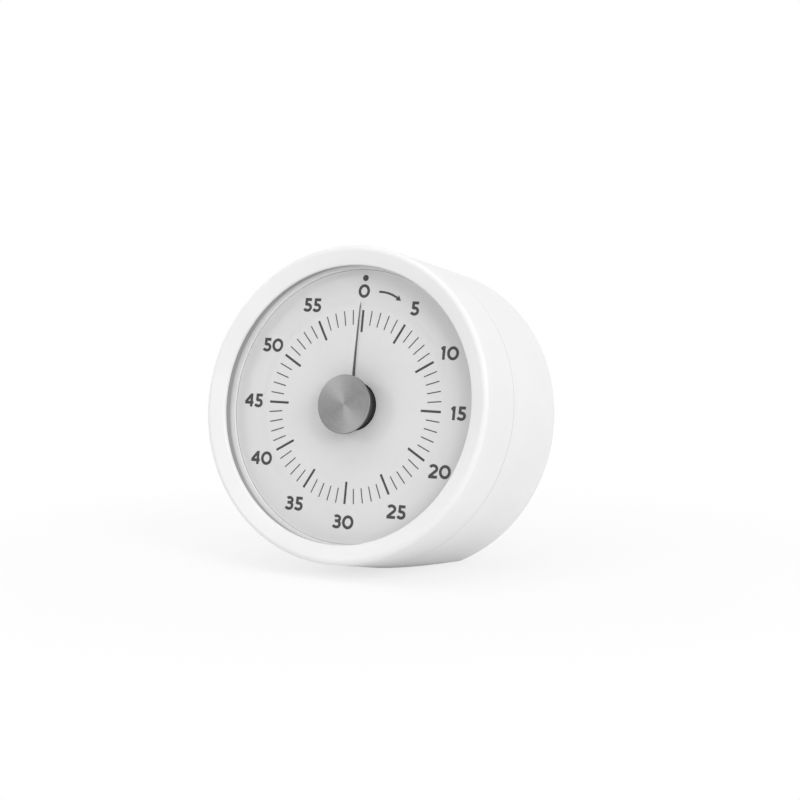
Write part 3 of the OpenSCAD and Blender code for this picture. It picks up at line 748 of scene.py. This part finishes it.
def circle_brushed():
    """Metal brushed in circles: noise that changes fast along the radius and slowly round the axis."""
    tree, shader, finish = new_finish("brushed_cap_metal", 0.3, 1.0)
    away = counted_from(tree, DIAL_CENTRE + CAP_TOP * MM * OUT)
    ray = add(tree, "ShaderNodeVectorMath", {0: away}, operation="NORMALIZE").outputs["Vector"]
    radius = vector_length(tree, away)
    lines = scaled(tree, OUT / (BRUSH_LINE * MM), radius)
    rounds = scaled(tree, ray, BRUSH_ROUNDS)
    field = add(tree, "ShaderNodeVectorMath", {0: lines, 1: rounds}, operation="ADD")
    inputs = {"Vector": field.outputs["Vector"], "Scale": 1.0, "Detail": 3.0}
    brushing = add(tree, "ShaderNodeTexNoise", inputs).outputs["Fac"]
    colour = tint(tree, shader, brushing, grey(0.215), grey(0.285))
    # The cap's base colour darkens towards its outer rim: painted shade on its side wall.
    edge = ranged(tree, radius, (CAP_R - CAP_ROUND / 2) * MM, CAP_R * MM, 1.0, CAP_EDGE_PAINTED_SHADE)
    tree.links.new(scaled(tree, colour, edge), shader.inputs["Base Color"])
    sheen_range(tree, shader, brushing, 0.32, 0.38)
    relief(tree, shader, brushing, 0.004, 0.6)
    shader.inputs["Anisotropic"].default_value = BRUSH_SPREAD
    spread_way = add(tree, "ShaderNodeVectorMath", {0: ray, 1: OUT}, operation="ADD").outputs["Vector"]
    tree.links.new(spread_way, shader.inputs["Tangent"])
    return finish


def metal(name, dark, light, low, high, grain, depth):
    """Worked metal: fine grain in colour, gloss and relief."""
    tree, shader, finish = new_finish(name, (low + high) / 2, 1.0)
    marks = spot_noise(tree, grain, 4.0)
    tint(tree, shader, marks, dark, light)
    sheen_range(tree, shader, spot_noise(tree, 20 * grain, 2.0), low, high)
    relief(tree, shader, marks, depth)
    return finish


# Colours from dark to light, roughness from low to high, and the grain's size and depth in millimetres
FINISHES = {
    "case_plastic": moulded("case_white", grey(0.83), grey(0.86), 0.36, 0.44, 0.22, 0.003, 0.3),
    "dial_plastic": moulded("dial_grey", grey(0.71), grey(0.74), 0.5, 0.6, 0.15, 0.003),
    "disc_film": moulded("film_blue", (0.07, 0.25, 0.44), (0.09, 0.29, 0.50), 0.4, 0.5, 0.2, 0.003),
    "cap_metal": circle_brushed(),
    "knob_plastic": moulded("knob_dark", grey(0.034), grey(0.046), 0.55, 0.65, 0.18, 0.006, 0.15),
    "movement_brass": metal("plate_brass", (0.66, 0.48, 0.20), (0.78, 0.60, 0.30), 0.25, 0.4,
                            0.5, 0.003),
    "movement_steel": metal("turned_steel", grey(0.46), grey(0.58), 0.25, 0.38, 0.3, 0.003),
    "wheel_plastic": moulded("wheel_cream", (0.74, 0.72, 0.64), (0.79, 0.77, 0.69), 0.35, 0.45,
                             0.2, 0.003),
    "spring_steel": metal("blued_spring", (0.08, 0.10, 0.16), (0.14, 0.17, 0.24), 0.25, 0.35, 0.4, 0.002),
    "bell_steel": metal("bell_plate", grey(0.58), grey(0.66), 0.12, 0.2, 1.0, 0.001),
}

for row in frame["record"]["subparts"]:
    for holder in frame["nodes"][row["node"]].material_slots:
        holder.material = FINISHES[row["material_slot"]]

make_front_shell(FINISHES["case_plastic"])
# The ring's grey darkens towards its outer edge by the recess wall: painted shade.
make_dial_ring(graded("ring_painted_shade", RING_R - RING_W, RING_R, 0.87, 0.5))
# Dark grey for the recess wall and the ring's foot: painted shade.
SHADE_GREY = moulded("sleeve_shade_grey", grey(0.3), grey(0.33), 0.5, 0.6, 0.2, 0.003)
make_sleeve(SHADE_GREY)
# Grey in the seam's groove: painted shade between the case's halves.
make_seam_line(moulded("seam_shade_grey", grey(0.55), grey(0.59), 0.5, 0.6, 0.2, 0.003))
make_dial(FINISHES["dial_plastic"])
make_disc(FINISHES["disc_film"])
make_cap(FINISHES["cap_metal"])
make_knob(FINISHES["knob_plastic"])

INK = print_ink()
make_numbers(INK)
make_marks(INK)
make_dot(INK)
make_arrow(INK)
# Painted shade of the gap at the ring's foot.
make_edge_line(SHADE_GREY)
# The dark ink serves here as painted shade round the hub, not as print.
make_hub_band(INK)
# The strip's grey darkens towards the hub: painted shade inside the slit.
make_edge_strip(graded("strip_painted_shade", FILM_IN, DISC_R, 0.32, 0.85))
make_slit_backing(FINISHES["dial_plastic"])


# Camera, floor and light

CAMERA_TURN = 28.21
CAMERA_RISE = 6.32
CAMERA_FAR = 528.2
CAMERA_ASIDE = 11.62
CAMERA_ABOVE = 1.55
CAMERA_LENS = 94.7
LAMP_FAR = 1.0


def bearing(turn, rise):
    """Direction from the timer, turned to the right of its front and raised from level."""
    turn, rise = np.radians([turn, rise])
    return np.array([np.cos(rise) * np.sin(turn), -np.cos(rise) * np.cos(turn), np.sin(rise)])


def level_axes(back):
    """Directions to the right and upright for something that looks away from its back, with no roll."""
    right = np.cross([0, 0, 1], back)
    right = right / np.linalg.norm(right)
    return right, np.cross(back, right)


def stand(thing, at, back):
    """Puts a camera or lamp at a point, looking away from the direction at its back."""
    right, upright = level_axes(back)
    turn = Matrix(np.stack([right, upright, back], 1).tolist()).to_4x4()
    thing.matrix_world = Matrix.Translation(Vector(at)) @ turn
    bpy.context.scene.collection.objects.link(thing)


def set_camera():
    """The photograph's place: straight out along its bearing, then a little aside and above."""
    back = bearing(CAMERA_TURN, CAMERA_RISE)
    right, upright = level_axes(back)
    at = DIAL_CENTRE + MM * (CAMERA_FAR * back + CAMERA_ASIDE * right + CAMERA_ABOVE * upright)
    lens = bpy.data.cameras.new("camera")
    lens.lens = CAMERA_LENS
    camera = bpy.data.objects.new("camera", lens)
    stand(camera, at, back)
    bpy.context.scene.camera = camera


def shown_white(tree):
    """1 for rays from the camera and for what metal and glass mirror, 0 for the light on the timer."""
    rays = add(tree, "ShaderNodeLightPath").outputs
    seen = rays["Is Camera Ray"]
    for kind in ("Is Glossy Ray", "Is Transmission Ray"):
        seen = add(tree, "ShaderNodeMath", {0: seen, 1: rays[kind]}, operation="MAXIMUM").outputs[0]
    return seen


def set_world(level):
    """Even pale light all round, shown as white."""
    world = bpy.data.worlds.new("studio")
    world.use_nodes = True
    bpy.context.scene.world = world
    tree = world.node_tree
    tree.nodes.clear()
    light = add(tree, "ShaderNodeBackground", {"Color": (1, 1, 1, 1), "Strength": level})
    white = add(tree, "ShaderNodeBackground", {"Color": (1, 1, 1, 1), "Strength": 1.0})
    inputs = {0: shown_white(tree), 1: light.outputs[0], 2: white.outputs[0]}
    mixed = add(tree, "ShaderNodeMixShader", inputs)
    add(tree, "ShaderNodeOutputWorld", {"Surface": mixed.outputs[0]})


def set_floor():
    """A wide level sheet whose own white shows through the timer's shadow, and takes over further out."""
    half = 6.0
    near = 0.05
    far = 0.16
    near_share = 0.72
    spot = 60.0
    mesh = bpy.data.meshes.new("floor")
    corners = half * np.array([[-1, -1, 0], [1, -1, 0], [1, 1, 0], [-1, 1, 0]])
    mesh.from_pydata(corners.tolist(), [], [[0, 1, 2, 3]])
    floor = bpy.data.objects.new("floor", mesh)
    bpy.context.scene.collection.objects.link(floor)
    finish = bpy.data.materials.new("floor_white")
    finish.use_nodes = True
    tree = finish.node_tree
    tree.nodes.clear()
    mottle = spot_noise(tree, spot, 2.0)
    ramp = add(tree, "ShaderNodeValToRGB", {"Fac": mottle})
    ramp.color_ramp.elements[0].color = (*grey(0.88), 1)
    ramp.color_ramp.elements[1].color = (*grey(0.9), 1)
    matt = add(tree, "ShaderNodeBsdfDiffuse", {"Color": ramp.outputs["Color"]})
    glow = add(tree, "ShaderNodeEmission", {"Color": (1, 1, 1, 1), "Strength": 1.0})
    away = vector_length(tree, add(tree, "ShaderNodeTexCoord").outputs["Object"])
    glow_share = ranged(tree, away, near, far, near_share, 1.0, "SMOOTHSTEP")
    inputs = {0: shown_white(tree), 1: glow_share}
    share = add(tree, "ShaderNodeMath", inputs, operation="MULTIPLY").outputs[0]
    mixed = add(tree, "ShaderNodeMixShader", {0: share, 1: matt.outputs[0], 2: glow.outputs[0]})
    add(tree, "ShaderNodeOutputMaterial", {"Surface": mixed.outputs[0]})
    mesh.materials.append(finish)


def add_lamp(name, turn, rise, size, watts):
    """A square soft lamp that faces the middle of the timer from a bearing."""
    light = bpy.data.lights.new(name, "AREA")
    light.size = size
    light.energy = watts
    back = bearing(turn, rise)
    stand(bpy.data.objects.new(name, light), DIAL_CENTRE + LAMP_FAR * back, back)


set_camera()
set_floor()
set_world(0.545)
add_lamp("lamp_right", turn=60.0, rise=24.0, size=0.5, watts=3.75)
add_lamp("lamp_left", turn=-39.6, rise=21.7, size=0.2, watts=0.74)
add_lamp("lamp_top", turn=0.0, rise=85.0, size=0.9, watts=3.45)
add_lamp("lamp_rim", turn=-102.0, rise=12.0, size=0.6, watts=1.8)
bpy.context.scene.view_settings.view_transform = "Standard"
